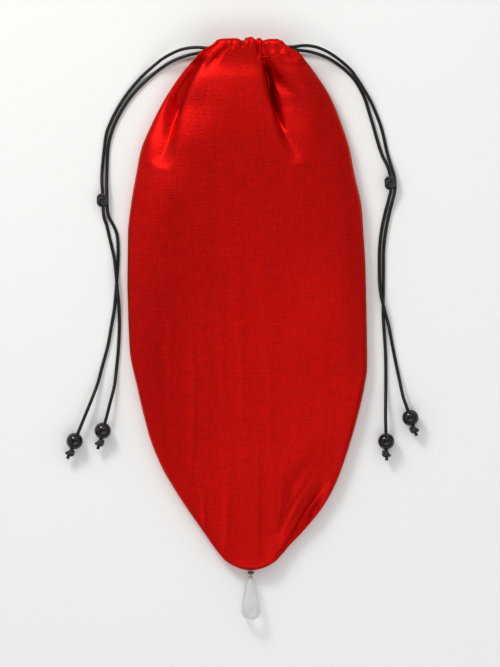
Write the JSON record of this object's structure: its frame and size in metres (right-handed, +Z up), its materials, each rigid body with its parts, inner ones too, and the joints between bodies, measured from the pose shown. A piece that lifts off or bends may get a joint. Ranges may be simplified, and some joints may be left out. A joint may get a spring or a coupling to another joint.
{
  "type": "drawstring pouch",
  "caption": "Pointed satin drawstring pouch lying flat, drawn shut by two knotted leather cords with round beads, with a glass drop at its tip.",
  "frame": {"origin": "on the surface that the pouch lies on, under the middle of the bag with its hanging drop", "axes": "+Y from the pointed end to the mouth, +Z up out of the front of the bag, +X to the right of someone looking down at the front"},
  "size_m": [0.2116, 0.3498, 0.0216],
  "materials": {
    "red_satin": "satin weave with a soft sheen",
    "black_leather": "smooth round cord",
    "black_stone": "polished",
    "clear_glass": "polished",
    "red_glass": "polished",
    "red_thread": "twisted thread"
  },
  "bodies": {
    "bag": {"front_panel": "red_satin", "back_panel": "red_satin", "left_cord_in_channel": "black_leather", "right_cord_in_channel": "black_leather", "left_cord_a": "black_leather", "left_cord_b": "black_leather", "right_cord_a": "black_leather", "right_cord_b": "black_leather", "left_knot": "black_leather", "right_knot": "black_leather", "left_end_knot_a": "black_leather", "left_end_knot_b": "black_leather", "right_end_knot_a": "black_leather", "right_end_knot_b": "black_leather", "drop_thread": "red_thread"},
    "bead_left_a": {"left_bead_a": "black_stone"},
    "bead_left_b": {"left_bead_b": "black_stone"},
    "bead_right_a": {"right_bead_a": "black_stone"},
    "bead_right_b": {"right_bead_b": "black_stone"},
    "spacer": {"tip_bead": "red_glass"},
    "drop": {"glass_drop": "clear_glass"}
  },
  "joints": [
    {"name": "left_bead_a_slide", "type": "slide", "parent": "bag", "child": "bead_left_a", "axis": [0.2617, 0.9651, 0], "range_m": [0, 0.008]},
    {"name": "left_bead_b_slide", "type": "slide", "parent": "bag", "child": "bead_left_b", "axis": [0.3779, 0.9258, 0], "range_m": [0, 0.008]},
    {"name": "right_bead_a_slide", "type": "slide", "parent": "bag", "child": "bead_right_a", "axis": [-0.0288, 0.9996, 0], "range_m": [0, 0.008]},
    {"name": "right_bead_b_slide", "type": "slide", "parent": "bag", "child": "bead_right_b", "axis": [-0.3254, 0.9456, 0], "range_m": [0, 0.008]},
    {"name": "spacer_spin", "type": "hinge", "parent": "bag", "child": "spacer", "pos_m": [0.00216, -0.14635, 0.0045], "axis": [0, 1, 0], "continuous": true},
    {"name": "drop_swing", "type": "hinge", "parent": "bag", "child": "drop", "pos_m": [0.00216, -0.14995, 0.00462], "axis": [0, 0, 1], "range_deg": [-75, 75]}
  ]
}
